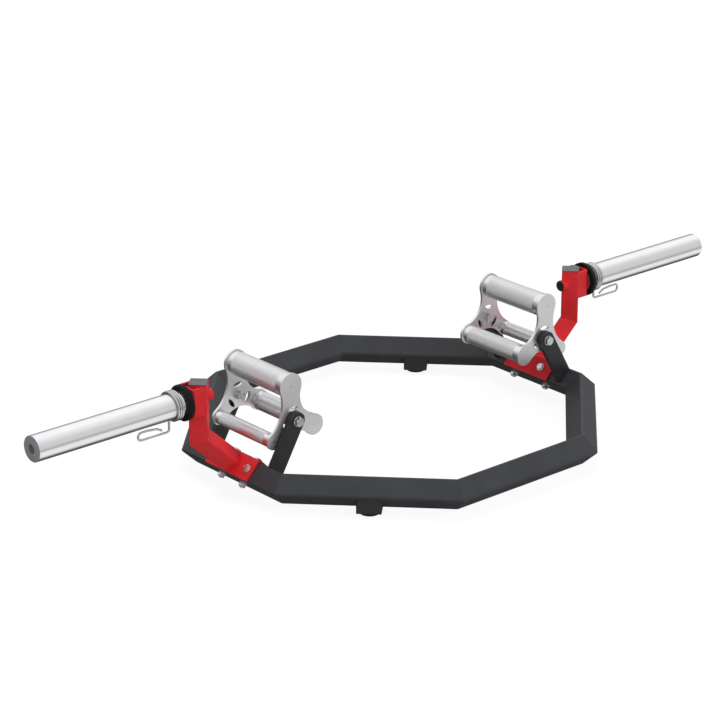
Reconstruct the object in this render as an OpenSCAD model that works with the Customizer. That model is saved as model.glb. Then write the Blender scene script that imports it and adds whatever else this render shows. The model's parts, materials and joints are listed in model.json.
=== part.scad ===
// Trap bar: an octagonal ring of square tube, with a rotating three-grip handle
// and a rotating plate sleeve on each side.
// The origin is on the floor under the middle of the ring.
// +X runs along the right sleeve, -Y is the front and +Z is up.
// Pieces of the left side are mirrored from the right side's.

/* [Ring] */
// Outside width of the square ring tube
tube_w = 45; // [44:0.5:46]
// Wall of the ring tube
tube_wall = 3; // [2:0.5:3.5]
// Outer corner radius of the ring tube
tube_r = 4; // [4:0.5:5]
// From the middle to the centreline of the front and rear tubes
ring_half_depth = 362; // [340:1:380]
// From the middle to the centreline of the side tubes
ring_half_width = 392.5; // [388:0.5:397]
// Half the length of the front and rear tubes, on the centreline
front_half = 163; // [140:1:185]
// Half the length of the side tubes, on the centreline
side_half = 128.5; // [122:0.5:140]
// Height of the ring's centreline above the floor
ring_z = 43; // [41:0.5:48]

/* [Feet] */
// Width of a foot's square steel cup
foot_w = 48; // [46:1:50]
// Diameter of a foot's rubber pad
foot_pad_d = 41; // [34:1:42]
// Height of pad that shows below the cup
foot_pad_show = 7; // [4:0.5:8]

/* [Saddles] */
// Plate thickness of the folded saddle
saddle_t = 4; // [3:0.5:4]
// Width of each flange, over the fold
saddle_flange = 48.5; // [44:0.5:50]
// Half the length of a saddle
saddle_half = 62; // [58:1:66]
// From the middle of the saddle to the bolts of its outer flange
outer_bolt_y = 46.5; // [44:0.5:48]
// From the middle of the saddle to the bolts of its inner flange
inner_bolt_y = 32; // [28:1:34]

/* [Arms] */
// Outside width of the arm's square tube
arm_w = 35; // [34:0.5:36]
// Wall of the arm's tube
arm_wall = 3; // [2:0.5:3]
// Outer corner radius of the arm's tube
arm_r = 3; // [3:0.5:4]
// From the side tube's centreline out to the axis of the arm's upright leg
arm_out = 93; // [88:0.5:97]
// From the side tube's centreline up to the bend of the arm
arm_rise = 88.7; // [84:0.1:94]
// From the middle of the tube's face up the flange to the middle of the arm's foot
arm_foot = 1; // [0:0.5:4]
// Height of the arm's open top
arm_top = 240.5; // [240:0.5:246]

/* [Sleeve carriers] */
// Height of the sleeve's axis
axle_z = 211.2; // [209:0.2:213]
// From the arm's axis out to the outer face of the red channel
channel_out = 30; // [29:0.5:33]
// Width of the channel
channel_w = 45; // [42:1:46]
// Height of the channel
channel_h = 56; // [52:1:58]
// Plate thickness of the channel
channel_t = 5; // [4:0.5:5]
// Outside diameter of the boss tube through the arm
boss_d = 22.5; // [21:0.5:24]
// From the arm's axis in to the inner end of the boss tube
boss_in = 28.5; // [26:0.5:33]
// Diameter of the spindle inside the sleeve
spindle_d = 25; // [24:1:28]
// Diameter of the spindle's stem inside the boss tube
stem_d = 16; // [14:1:17]

/* [Sleeves] */
// Outside diameter of the plate sleeve
sleeve_d = 50; // [49:0.5:50]
// Bore of the plate sleeve
sleeve_bore = 40; // [38:0.5:42]
// Length of the plate sleeve's tube
sleeve_length = 339.2; // [320:0.1:380]
// Radial relief of the sleeve's root, where the stop disc and the collar's coil sit
root_relief = 0.3; // [0.3:0.05:0.5]
// How far the relieved root runs past the coil
root_past_coil = 1.3; // [1:0.1:3]
// Diameter of the stop disc at the sleeve's inner end
disc_d = 70; // [66:1:76]
// Thickness of the stop disc
disc_t = 10.7; // [8:0.1:12]
// Diameter of the bright thrust washer
thrust_d = 51; // [48:1:54]
// Thickness of the thrust washer
thrust_t = 3.5; // [2.5:0.5:4]
// Thickness of the end cap's rim
cap_rim = 1; // [0.8:0.1:3]

/* [Spring collars] */
// Diameter of the collar's wire
wire_d = 4.4; // [4:0.1:4.6]
// Distance from one turn of the coil to the next
coil_pitch = 5.2; // [5:0.1:6]
// Gap between the sleeve and the coil
coil_gap = 0.3; // [0.3:0.1:1]
// From the stop disc to the coil's outer turn
coil_place = 25.5; // [23:0.5:30]
// From the sleeve's axis to the outer run of a wire handle
handle_reach = 49.2; // [46:0.2:52]
// From the coil's outer turn to the handle's round end
handle_length = 71; // [66:0.5:80]
// Height of the handle's loop
handle_loop = 15; // [14:0.5:17]
// Angle between the collar's two wire handles, at rest
handle_spread = 60; // [50:5:75]

/* [Rotating handles] */
// From the side tube's centreline in to the handle's pivot axis
hub_in = 65; // [63:0.5:67]
// Height of the handle's pivot axis
hub_z = 151.2; // [151:0.2:154]
// Outward lean of the handle at rest
hub_tilt = 5; // [0:1:8]
// Length of a grip, between the plates
grip_length = 160; // [156:1:164]
// Thickness of a three-lobed plate
plate_t = 5; // [4:0.5:6]
// Diameter of the thick grip
thick_d = 47.5; // [46:0.5:48]
// Diameter of the medium grip
medium_d = 38; // [36:0.5:39]
// Diameter of the thin grip
thin_d = 28; // [27:0.5:30]
// From the pivot to the thick grip's axis
thick_reach = 68.5; // [66:0.5:69]
// From the pivot to the medium grip's axis
medium_reach = 56; // [54:0.5:58]
// From the pivot to the thin grip's axis
thin_reach = 58; // [56:0.5:60]
// How far a plate's rounded lobe stands out round its grip
lobe_rim = 2; // [1.5:0.25:3]
// Wall of the grip tubes
grip_wall = 2.5; // [2:0.5:3]
// Diameter of the pins that hold the grips
grip_pin_d = 5; // [4:0.5:6]
// Length of a lens-shaped slot in the plate
slot_length = 25; // [16:1:26]
// Width of a lens-shaped slot
slot_width = 9; // [6:0.5:10]
// From the pivot to the middle of a slot
slot_reach = 22.5; // [21:0.5:24]

/* [Posts] */
// Width of a post's flat bar
post_w = 35; // [32:1:36]
// Thickness of a post's flat bar
post_t = 10; // [8:0.5:11]
// Lean of a post from upright
post_lean = 30; // [28:1:33]
// Gap between a post and the handle's plate
post_gap = 1.5; // [1.2:0.1:2]

/* [Fits] */
// Radial clearance of a shaft that turns in its bush
running_fit = 0.05; // [0.02:0.01:0.08]
// Gap between faces of pieces that move past each other
face_gap = 0.3; // [0.3:0.1:0.5]
// Extra diameter of a bolt's clearance hole
hole_ease = 0.5; // [0.4:0.1:1]

/* [Hidden] */
$fn = 64;

charcoal = "#45464a";
black = "#242628";
red = "#c4303a";
grey = "#6b6a6a";
plate_grey = "#c8c8ca";
bright = "#dcdde0";
bronze = "#a98445";

// Fasteners: an M8 set in the saddles, M10 at the pivots and M8 in the spindles' ends
m8_d = 8;
m8_flats = 13;
m8_head = 4;
m8_nut = 6.5;
m8_washer_d = 17;
m8_washer_t = 1.6;
m10_d = 10;
m10_flats = 17;
m10_head = 6.4;
m10_nut = 8.4;
m10_washer_d = 20;
m10_washer_t = 2;
thread_end = 2;

// Places worked out from the driving dimensions
ring_corners = [
    [front_half, -ring_half_depth], [ring_half_width, -side_half],
    [ring_half_width, side_half], [front_half, ring_half_depth],
    [-front_half, ring_half_depth], [-ring_half_width, side_half],
    [-ring_half_width, -side_half], [-front_half, -ring_half_depth],
];
saddle_face = tube_w / 2 + saddle_t;
hub_x = ring_half_width - hub_in;
arm_x = ring_half_width + arm_out;
bend_z = ring_z + arm_rise;
boss_x = arm_x - boss_in;
channel_x = arm_x + channel_out;
sleeve_start = channel_x + thrust_t + face_gap;
sleeve_end = sleeve_start + sleeve_length;
disc_end = sleeve_start + disc_t;
coil_x = disc_end + coil_place;
root_d = sleeve_d - 2 * root_relief;
root_end = coil_x + wire_d / 2 + root_past_coil;
bush_length = 30;
outer_bush_end = sleeve_end - 11.3;
spindle_end = outer_bush_end + face_gap;
plate_in = grip_length / 2;
plate_out = plate_in + plate_t;
post_in = plate_out + post_gap;
post_out = post_in + post_t;
bush_flange_t = post_gap - face_gap;
lobe_angle = [90 - hub_tilt, 210 - hub_tilt, 330 - hub_tilt];
lobe_reach = [thick_reach, medium_reach, thin_reach];
grip_d = [thick_d, medium_d, thin_d];
// Radius of the hollow between the thick and medium, medium and thin, thin and thick lobes
hollow_r = [48, 46, 66];
// Step where a hollow meets a lobe, so that their outlines cross and don't just touch
lobe_step = 0.1;
grip_end = 8;
plug_depth = 9;
end_cap_depth = 6;
foot_recess = 5;

function unit(v) = v / norm(v);
function ring_corner(i) = ring_corners[i % 8];
// Direction of the mitre at a corner of the ring, pointing inward
function mitre(i) = unit(
    unit(ring_corner(i + 7) - ring_corner(i)) + unit(ring_corner(i + 1) - ring_corner(i))
);
function lobe_r(i) = grip_d[i] / 2 + lobe_rim;
function lobe_at(i) = lobe_reach[i] * [cos(lobe_angle[i]), sin(lobe_angle[i])];

// Centre of the circle of radius r that touches lobes i and j from outside the plate
function hollow_at(i, j, r) =
    let(
        span = lobe_at(j) - lobe_at(i),
        d = norm(span),
        ri = r + lobe_r(i),
        rj = r + lobe_r(j),
        along = (ri * ri - rj * rj + d * d) / (2 * d),
        across = sqrt(ri * ri - along * along),
        u = span / d
    )
    lobe_at(i) + along * u + across * [u.y, -u.x];

// Shared shapes

module both_sides() {
    children();
    mirror([1, 0, 0]) children();
}

module four_corners() {
    both_sides() children();
    mirror([0, 1, 0]) both_sides() children();
}

module round_square(w, r) {
    square([w, w - 2 * r], center = true);
    square([w - 2 * r, w], center = true);
    for (x = [-1, 1], y = [-1, 1])
        translate([x, y] * (w / 2 - r)) circle(r);
}

module tube_section(w, wall, r) {
    difference() {
        round_square(w, r);
        round_square(w - 2 * wall, max(r - wall, 0.5));
    }
}

// A block with its rounded corner at [edge, edge]
module corner_block(edge, r, size) {
    translate([edge - size, edge - size]) {
        square([size, size - r]);
        square([size - r, size]);
        translate([size - r, size - r]) circle(r);
    }
}

// Extrudes a section, corner-up, along tube i of the ring and past both its ends
module along_ring(i) {
    run = ring_corner(i + 1) - ring_corner(i);
    translate([ring_corner(i).x, ring_corner(i).y, ring_z])
        rotate([0, 0, atan2(run.y, run.x)])
            translate([-tube_w, 0, 0])
                rotate([90, 0, 90])
                    linear_extrude(norm(run) + 2 * tube_w) rotate(45) children();
}

module ring_tube(i) {
    intersection() {
        along_ring(i) tube_section(tube_w, tube_wall, tube_r);
        linear_extrude(2 * ring_z) polygon([
            ring_corner(i) - tube_w * mitre(i), ring_corner(i) + tube_w * mitre(i),
            ring_corner(i + 1) + tube_w * mitre(i + 1), ring_corner(i + 1) - tube_w * mitre(i + 1),
        ]);
    }
}

// The right saddle's four bolt places, with +Z out of the flange
module at_saddle_bolts() {
    for (side = [-1, 1]) {
        translate([ring_half_width, side * outer_bolt_y, ring_z]) rotate([0, 45, 0]) children();
        translate([ring_half_width, side * inner_bolt_y, ring_z]) rotate([0, -45, 0]) children();
    }
}

// Points +Z outward along the right sleeve's axis
module on_axle(x) {
    translate([x, 0, axle_z]) rotate([0, 90, 0]) children();
}

// Points +Z to the front along the right handle's pivot axis, with local +X to the right
module on_pivot(y) {
    translate([hub_x, -y, hub_z]) rotate([90, 0, 0]) children();
}

// The right handle's two ends: front as drawn, rear mirrored
module both_ends() {
    children();
    mirror([0, 1, 0]) children();
}

module ring(outer_d, inner_d, h) {
    difference() {
        cylinder(d = outer_d, h = h);
        translate([0, 0, -1]) cylinder(d = inner_d, h = h + 2);
    }
}

module hexagon_bar(flats, h) {
    cylinder(d = flats / cos(30), h = h, $fn = 6);
}

// Ring

module ring_front_tube() {
    color(charcoal) ring_tube(7);
}

module ring_rear_tube() {
    color(charcoal) mirror([0, 1, 0]) ring_tube(7);
}

module ring_front_right_tube() {
    color(charcoal) ring_tube(0);
}

module ring_front_left_tube() {
    color(charcoal) mirror([1, 0, 0]) ring_tube(0);
}

module ring_rear_right_tube() {
    color(charcoal) mirror([0, 1, 0]) ring_tube(0);
}

module ring_rear_left_tube() {
    color(charcoal) mirror([1, 0, 0]) mirror([0, 1, 0]) ring_tube(0);
}

module ring_right_tube() {
    color(charcoal) difference() {
        ring_tube(1);
        at_saddle_bolts() cylinder(d = m8_d + hole_ease, h = 2 * tube_w, center = true);
    }
}

module ring_left_tube() {
    mirror([1, 0, 0]) ring_right_tube();
}

// Feet, under the middle of each diagonal tube

foot_at = (ring_corner(0) + ring_corner(1)) / 2;

// Turns a foot square with its tube
foot_turn = atan2(ring_corner(1).y - ring_corner(0).y, ring_corner(1).x - ring_corner(0).x);

module foot_cups() {
    color(black) four_corners() difference() {
        translate([foot_at.x, foot_at.y, foot_pad_show]) rotate(foot_turn) difference() {
            linear_extrude(ring_z - foot_pad_show) round_square(foot_w, 3);
            translate([0, 0, -1]) cylinder(d = foot_pad_d, h = foot_recess + 1);
        }
        along_ring(0) round_square(tube_w, tube_r);
    }
}

module foot_pads() {
    pad_r = foot_pad_d / 2;
    color("#1b1b1c") four_corners() translate([foot_at.x, foot_at.y, 0]) rotate_extrude()
        polygon([[0, 0], [pad_r - 2, 0], [pad_r, 2], [pad_r, foot_pad_show + foot_recess],
            [0, foot_pad_show + foot_recess]]);
}

// Saddles and their bolts

module right_saddle() {
    color(red) difference() {
        translate([ring_half_width, 0, ring_z]) rotate([90, 0, 0]) rotate([0, 0, 45])
            linear_extrude(2 * saddle_half, center = true) difference() {
                corner_block(saddle_face, tube_r + saddle_t, saddle_flange);
                corner_block(tube_w / 2, tube_r, tube_w);
            }
        at_saddle_bolts() cylinder(d = m8_d + hole_ease, h = 2 * tube_w);
    }
}

module left_saddle() {
    mirror([1, 0, 0]) right_saddle();
}

module saddle_bolts() {
    reach = tube_w / 2 + m8_washer_t + m8_nut + thread_end;
    color(bright) both_sides() at_saddle_bolts() {
        translate([0, 0, saddle_face + m8_washer_t]) hexagon_bar(m8_flats, m8_head);
        translate([0, 0, -reach]) cylinder(d = m8_d, h = reach + saddle_face + m8_washer_t + 1);
    }
}

module saddle_washers() {
    color(bright) both_sides() at_saddle_bolts() {
        translate([0, 0, saddle_face]) ring(m8_washer_d, m8_d + hole_ease, m8_washer_t);
        translate([0, 0, -tube_w / 2 - m8_washer_t]) ring(m8_washer_d, m8_d + hole_ease, m8_washer_t);
    }
}

module saddle_nuts() {
    color(bright) both_sides() at_saddle_bolts()
        translate([0, 0, -tube_w / 2 - m8_washer_t - m8_nut]) difference() {
            hexagon_bar(m8_flats, m8_nut);
            translate([0, 0, -1]) cylinder(d = m8_d, h = m8_nut + 2);
        }
}

// Arms, from the saddle's outer flange up to the sleeve

bend = [arm_x, bend_z];
// Direction down the right saddle's outer flange, seen from the front, and the middle of the arm's foot on it
flange_down = [1, -1] / sqrt(2);
foot = [ring_half_width, ring_z] + saddle_face * [1, 1] / sqrt(2) - arm_foot * flange_down;
strut_rise = atan2(bend.y - foot.y, bend.x - foot.x);
// Direction of the mitre between the arm's upright and its strut
bend_mitre = 2 * arm_w * [-cos(45 - strut_rise / 2), sin(45 - strut_rise / 2)];

// Keeps what lies inside an outline given in X and Z
module within_outline(points) {
    intersection() {
        children();
        rotate([90, 0, 0]) linear_extrude(2 * arm_w, center = true) polygon(points);
    }
}

module right_arm_upright() {
    color(red) difference() {
        within_outline([
            bend + bend_mitre, bend - bend_mitre,
            [arm_x + arm_w, arm_top + 1], [arm_x - arm_w, arm_top + 1],
        ])
            translate([arm_x, 0, bend_z - arm_w]) linear_extrude(arm_top - bend_z + arm_w)
                rotate(45) tube_section(arm_w, arm_wall, arm_r);
        on_axle(boss_x) cylinder(d = boss_d, h = channel_x - boss_x);
    }
}

module left_arm_upright() {
    mirror([1, 0, 0]) right_arm_upright();
}

// Stands on the middle of the saddle's outer flange
module right_arm_strut() {
    color(red) within_outline([
        bend + bend_mitre, bend - bend_mitre,
        foot + 2 * arm_w * flange_down, foot - 2 * arm_w * flange_down,
    ])
        translate([foot.x, 0, foot.y]) rotate([0, 90 - strut_rise, 0]) translate([0, 0, -arm_w])
            linear_extrude(norm(bend - foot) + 2 * arm_w) rotate(45) tube_section(arm_w, arm_wall, arm_r);
}

module left_arm_strut() {
    mirror([1, 0, 0]) right_arm_strut();
}

// A cap on a neck, so that a dark line shows between it and the arm
module arm_caps() {
    cap_h = 1.2;
    cap_neck = 1.8;
    inset = 0.5;
    color(grey) both_sides() translate([arm_x, 0, arm_top]) rotate(45) {
        translate([0, 0, cap_neck]) linear_extrude(cap_h) round_square(arm_w - 2 * inset, arm_r);
        translate([0, 0, -10]) linear_extrude(10 + cap_neck + 1) round_square(arm_w - 2 * arm_wall, 1);
    }
}

// Channels, bosses and spindles

module right_channel() {
    fold = channel_t + 1;
    inner_w = channel_w - 2 * channel_t;
    color(red) difference() {
        translate([0, 0, arm_top - 1.2 - channel_h]) linear_extrude(channel_h) difference() {
            union() {
                translate([arm_x, -channel_w / 2]) square([channel_x - fold - arm_x, channel_w]);
                translate([arm_x, -channel_w / 2 + fold]) square([channel_x - arm_x, channel_w - 2 * fold]);
                for (side = [-1, 1])
                    translate([channel_x - fold, side * (channel_w / 2 - fold)]) circle(fold);
            }
            translate([arm_x - 1, -inner_w / 2]) square([channel_x - channel_t - arm_x + 1, inner_w]);
            translate([arm_x, 0]) rotate(45) square(arm_w, center = true);
        }
        on_axle(arm_x) cylinder(d = stem_d, h = 2 * (channel_x - arm_x));
    }
}

module left_channel() {
    mirror([1, 0, 0]) right_channel();
}

module boss_tubes() {
    color(red) both_sides() on_axle(boss_x) ring(boss_d, stem_d, channel_x - channel_t - boss_x);
}

module boss_plugs() {
    color(black) both_sides() on_axle(boss_x) {
        translate([0, 0, -2]) cylinder(d = boss_d - 1, h = 2);
        translate([0, 0, -1]) cylinder(d = stem_d, h = 1 + plug_depth);
    }
}

module right_spindle() {
    color(bright) difference() {
        union() {
            on_axle(boss_x + plug_depth) cylinder(d = stem_d, h = channel_x - boss_x - plug_depth + 1);
            on_axle(channel_x) cylinder(d = spindle_d, h = spindle_end - channel_x);
        }
        on_axle(spindle_end - 25) cylinder(d = m8_d, h = 30);
    }
}

module left_spindle() {
    mirror([1, 0, 0]) right_spindle();
}

module thrust_washers() {
    color(bright) both_sides() on_axle(channel_x) ring(thrust_d, spindle_d + 2 * running_fit, thrust_t);
}

module spindle_end_washers() {
    color(bright) both_sides() on_axle(spindle_end) ring(spindle_d + 8, m8_d + hole_ease, 3);
}

module spindle_end_bolts() {
    color(bright) both_sides() on_axle(spindle_end + 3) {
        hexagon_bar(m8_flats, m8_head + 3);
        translate([0, 0, -23]) cylinder(d = m8_d, h = 24);
    }
}

// Posts and pivots

module right_front_post() {
    color(black) difference() {
        on_pivot(post_in) linear_extrude(post_t) difference() {
            union() {
                circle(d = post_w);
                rotate(post_lean) translate([-post_w / 2, -2 * ring_z - post_w]) square([post_w, 2 * ring_z + post_w]);
            }
            translate([ring_half_width - hub_x, ring_z - hub_z]) rotate(45)
                translate([-3 * tube_w, -3 * tube_w]) square(3.5 * tube_w);
        }
        on_pivot(post_in - 1) cylinder(d = m10_d + hole_ease, h = post_t + 2);
    }
}

module right_rear_post() {
    mirror([0, 1, 0]) right_front_post();
}

module left_front_post() {
    mirror([1, 0, 0]) right_front_post();
}

module left_rear_post() {
    mirror([1, 0, 0]) mirror([0, 1, 0]) right_front_post();
}

inner_washer_y = plate_in - face_gap - m10_washer_t;

module pivot_bolts() {
    start = inner_washer_y - m10_nut - thread_end;
    color(bright) four_corners() {
        on_pivot(post_out + m10_washer_t) hexagon_bar(m10_flats, m10_head);
        on_pivot(start) cylinder(d = m10_d, h = post_out + m10_washer_t + 1 - start);
    }
}

module pivot_washers() {
    color(bright) four_corners() {
        on_pivot(post_out) ring(m10_washer_d, m10_d + hole_ease, m10_washer_t);
        on_pivot(inner_washer_y) ring(m10_washer_d, m10_d + hole_ease, m10_washer_t);
    }
}

module pivot_nuts() {
    color(bright) four_corners() on_pivot(inner_washer_y - m10_nut) difference() {
        hexagon_bar(m10_flats, m10_nut);
        translate([0, 0, -1]) cylinder(d = m10_d, h = m10_nut + 2);
    }
}

// Rotating handles

module lens_slot() {
    r = (slot_length * slot_length + slot_width * slot_width) / (4 * slot_width);
    intersection() {
        translate([slot_reach + r - slot_width / 2, 0]) circle(r);
        translate([slot_reach - r + slot_width / 2, 0]) circle(r);
    }
}

module plate_section() {
    difference() {
        union() {
            for (i = [0:2]) {
                j = (i + 1) % 3;
                translate(lobe_at(i)) circle(lobe_r(i));
                difference() {
                    polygon([[0, 0], lobe_at(i), hollow_at(i, j, hollow_r[i]), lobe_at(j)]);
                    translate(hollow_at(i, j, hollow_r[i])) circle(hollow_r[i] - lobe_step);
                }
            }
        }
        for (i = [0:2]) {
            rotate(lobe_angle[i]) lens_slot();
            translate(lobe_at(i)) circle(d = grip_pin_d);
        }
        circle(d = m10_d + 4);
    }
}

module right_handle_front_plate() {
    color(plate_grey) on_pivot(plate_in) linear_extrude(plate_t) plate_section();
}

module right_handle_rear_plate() {
    mirror([0, 1, 0]) right_handle_front_plate();
}

module left_handle_front_plate() {
    mirror([1, 0, 0]) right_handle_front_plate();
}

module left_handle_rear_plate() {
    mirror([1, 0, 0]) mirror([0, 1, 0]) right_handle_front_plate();
}

// Grip i of the right handle, a tube with closed ends
module grip(i) {
    color(bright) on_pivot(-plate_in) translate(lobe_at(i)) difference() {
        cylinder(d = grip_d[i], h = grip_length);
        translate([0, 0, grip_end]) cylinder(d = grip_d[i] - 2 * grip_wall, h = grip_length - 2 * grip_end);
        translate([0, 0, -1]) cylinder(d = grip_pin_d, h = grip_length + 2);
    }
}

module right_thick_grip() {
    grip(0);
}

module right_medium_grip() {
    grip(1);
}

module right_thin_grip() {
    grip(2);
}

module left_thick_grip() {
    mirror([1, 0, 0]) grip(0);
}

module left_medium_grip() {
    mirror([1, 0, 0]) grip(1);
}

module left_thin_grip() {
    mirror([1, 0, 0]) grip(2);
}

module right_grip_pins() {
    color(bright) both_ends() for (i = [0:2])
        on_pivot(plate_in - grip_end) translate(lobe_at(i)) cylinder(d = grip_pin_d, h = grip_end + plate_t);
}

module left_grip_pins() {
    mirror([1, 0, 0]) right_grip_pins();
}

module right_handle_bushes() {
    bore = m10_d + 2 * running_fit;
    color(bronze) both_ends() {
        on_pivot(plate_in) ring(m10_d + 4, bore, plate_t + 0.5);
        on_pivot(plate_out) ring(m10_washer_d, bore, bush_flange_t);
    }
}

module left_handle_bushes() {
    mirror([1, 0, 0]) right_handle_bushes();
}

// Sleeves

// Full diameter where plates bear, past the relieved root
module right_sleeve() {
    color(bright) difference() {
        union() {
            on_axle(sleeve_start) cylinder(d = root_d, h = sleeve_length);
            on_axle(root_end) cylinder(d = sleeve_d, h = sleeve_end - root_end);
        }
        on_axle(sleeve_start - 1) cylinder(d = sleeve_bore, h = sleeve_length + 2);
    }
}

module left_sleeve() {
    mirror([1, 0, 0]) right_sleeve();
}

module right_stop_disc() {
    rim = disc_d / 2;
    chamfer = 3;
    color(black) on_axle(sleeve_start) rotate_extrude() polygon([
        [root_d / 2, 0], [rim - 1, 0], [rim, 1], [rim, disc_t - chamfer],
        [rim - chamfer, disc_t], [root_d / 2, disc_t],
    ]);
}

module left_stop_disc() {
    mirror([1, 0, 0]) right_stop_disc();
}

module right_sleeve_bushes() {
    bore = spindle_d + 2 * running_fit;
    color(bronze) {
        on_axle(sleeve_start) ring(sleeve_bore, bore, bush_length);
        on_axle(outer_bush_end - bush_length) ring(sleeve_bore, bore, bush_length);
    }
}

module left_sleeve_bushes() {
    mirror([1, 0, 0]) right_sleeve_bushes();
}

module right_end_cap() {
    recess = m8_flats + 5;
    color(grey) on_axle(sleeve_end) difference() {
        union() {
            cylinder(d1 = sleeve_d, d2 = sleeve_d - 2, h = cap_rim);
            translate([0, 0, -end_cap_depth]) cylinder(d = sleeve_bore, h = end_cap_depth + cap_rim / 2);
        }
        translate([0, 0, -end_cap_depth - 1]) cylinder(d = recess, h = end_cap_depth + cap_rim + 2);
    }
}

module left_end_cap() {
    mirror([1, 0, 0]) right_end_cap();
}

// Spring collars: one wire, from the end of one handle through the coil to the end of the other

wire_r = wire_d / 2;
ring_step = 15;
coil_r = (sleeve_d / 2 + coil_gap + wire_r) / cos(ring_step / 2);
lead = 12;
coil_turn = 1080 + handle_spread - 2 * lead;
coil_steps = round(coil_turn / ring_step);
coil_in_x = coil_x - coil_pitch * coil_turn / 360;
bend_r = 5;

// A point at distance r and angle a round the sleeve's axis
function round_axle(x, r, a) = [x, r * cos(a), r * sin(a)];

// Points of the arc that rounds the corner b between a and c
function corner_arc(a, b, c, r, steps) =
    let(
        u = unit(a - b),
        v = unit(c - b),
        half = acos(u * v) / 2,
        centre = b + unit(u + v) * r / sin(half),
        p = b + u * r / tan(half) - centre,
        q = b + v * r / tan(half) - centre,
        sweep = 180 - 2 * half
    )
    [for (k = [0:steps]) centre + (sin(sweep * (1 - k / steps)) * p + sin(sweep * k / steps) * q) / sin(sweep)];

// A polyline with each inner corner rounded by its own radius and step count
function rounded(points, radii, steps) = concat(
    [points[0]],
    [for (i = [1:len(points) - 2])
        each corner_arc(points[i - 1], points[i], points[i + 1], radii[i - 1], steps[i - 1])],
    [points[len(points) - 1]]
);

// Corner points of a handle at angle a, from its free end to where it meets the coil's turn at x
function handle_corners(x, a) =
    let(
        round_end = coil_x + handle_length,
        inner_run = handle_reach - handle_loop
    )
    [
        round_axle(coil_x + 17, inner_run + 8.2, a),
        round_axle(coil_x + 28, inner_run + 2.2, a),
        round_axle(coil_x + 50, inner_run - 0.3, a),
        round_axle(round_end, inner_run, a),
        round_axle(round_end, handle_reach, a),
        round_axle(x, handle_reach, a),
        round_axle(x, coil_r / cos(lead), a),
    ];

handle_radii = [20, 60, handle_loop / 2 - 0.1, handle_loop / 2 - 0.1, 6, bend_r];
handle_steps = [2, 2, 4, 4, 3, 3];
first_angle = -90;
second_angle = first_angle + handle_spread;

function reversed(list) = [for (i = [len(list) - 1:-1:0]) list[i]];

coil_points = [for (k = [0:coil_steps])
    round_axle(
        coil_x - (coil_x - coil_in_x) * k / coil_steps,
        coil_r,
        first_angle + lead + coil_turn * k / coil_steps
    )];

collar_path =
    let(
        first = rounded(concat(handle_corners(coil_x, first_angle), [coil_points[0]]),
            handle_radii, handle_steps),
        second = rounded(concat(handle_corners(coil_in_x, second_angle), [coil_points[coil_steps]]),
            handle_radii, handle_steps)
    )
    concat(first, [for (k = [1:coil_steps - 1]) coil_points[k]], reversed(second));

function tangents(p) = [for (i = [0:len(p) - 1])
    unit(p[min(i + 1, len(p) - 1)] - p[max(i - 1, 0)])];

function carried(n, t) = unit(n - (n * t) * t);

// Normals carried along the path without twist
function normals(t) = [
    for (
        i = 0, n = carried([0, 1, 0.3], t[0]);
        i < len(t);
        i = i + 1, n = i < len(t) ? carried(n, t[i]) : n
    ) n
];

// Length of the path up to each point
function lengths(p) = [
    for (i = 0, s = 0; i < len(p); i = i + 1, s = i < len(p) ? s + norm(p[i] - p[i - 1]) : s) s
];

// Least gap of the wire to itself, between stretches more than five diameters apart on the path
function least_gap(p, d) =
    let(s = lengths(p))
    min([for (i = [0:len(p) - 1]) for (j = [i:len(p) - 1]) if (s[j] - s[i] > 5 * d) norm(p[i] - p[j]) - d]);

module wire(p, d, sides) {
    t = tangents(p);
    n = normals(t);
    last = sides * (len(p) - 1);
    points = [for (i = [0:len(p) - 1]) for (k = [0:sides - 1])
        p[i] + d / 2 * (cos(360 * k / sides) * n[i] + sin(360 * k / sides) * cross(t[i], n[i]))];
    walls = [for (i = [0:len(p) - 2]) for (k = [0:sides - 1])
        let(a = sides * i + k, b = sides * i + (k + 1) % sides)
        each [[a, a + sides, b + sides], [a, b + sides, b]]];
    ends = [for (k = [1:sides - 2]) each [[0, k, k + 1], [last, last + k + 1, last + k]]];
    polyhedron(points, concat(walls, ends));
}

module right_spring_collar() {
    echo("least gap of the spring collar's wire", least_gap(collar_path, wire_d));
    color(bright) translate([0, 0, axle_z]) wire(collar_path, wire_d, 6);
}

module left_spring_collar() {
    mirror([1, 0, 0]) right_spring_collar();
}

ring_front_tube();
ring_rear_tube();
ring_left_tube();
ring_right_tube();
ring_front_left_tube();
ring_front_right_tube();
ring_rear_left_tube();
ring_rear_right_tube();
foot_cups();
foot_pads();
left_saddle();
right_saddle();
saddle_bolts();
saddle_washers();
saddle_nuts();
left_arm_upright();
left_arm_strut();
right_arm_upright();
right_arm_strut();
arm_caps();
left_channel();
right_channel();
boss_tubes();
boss_plugs();
left_front_post();
left_rear_post();
right_front_post();
right_rear_post();
pivot_bolts();
pivot_washers();
pivot_nuts();
left_spindle();
right_spindle();
thrust_washers();
spindle_end_washers();
spindle_end_bolts();
left_handle_front_plate();
left_handle_rear_plate();
left_thick_grip();
left_medium_grip();
left_thin_grip();
left_grip_pins();
left_handle_bushes();
right_handle_front_plate();
right_handle_rear_plate();
right_thick_grip();
right_medium_grip();
right_thin_grip();
right_grip_pins();
right_handle_bushes();
left_sleeve();
left_stop_disc();
left_sleeve_bushes();
left_end_cap();
left_spring_collar();
right_sleeve();
right_stop_disc();
right_sleeve_bushes();
right_end_cap();
right_spring_collar();
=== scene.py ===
import json
import math

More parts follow.
